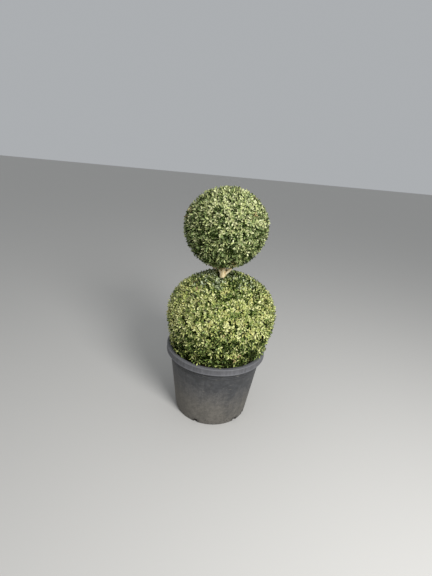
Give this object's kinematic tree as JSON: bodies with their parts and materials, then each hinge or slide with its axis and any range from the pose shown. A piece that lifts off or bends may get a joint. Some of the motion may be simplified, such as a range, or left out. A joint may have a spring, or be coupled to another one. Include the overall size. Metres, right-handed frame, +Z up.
{
  "type": "potted double ball boxwood topiary",
  "caption": "Clipped evergreen shrub on one bare stem, with a smaller leafy ball above a larger one, growing in a tapered dark nursery pot with a rolled rim.",
  "frame": {"origin": "middle of the flat underside of the pot", "axes": "+Z up along the trunk, -Y towards the front of the plant, +X to its right seen from the front"},
  "size_m": [0.6261, 0.6282, 1.3236],
  "materials": {
    "pot": "matt moulded polyethylene, dusty towards the foot",
    "soil": "coarse moist bark potting mix",
    "bark": "pale fine-grained bark",
    "foliage": "small leathery leaves with a soft gloss"
  },
  "bodies": {
    "root": {"pot": "pot", "soil": "soil", "trunk": "bark", "bough_right": "bark", "bough_left": "bark", "bough_back": "bark", "foliage_lower_ball": "foliage", "foliage_upper_ball": "foliage"}
  },
  "joints": []
}
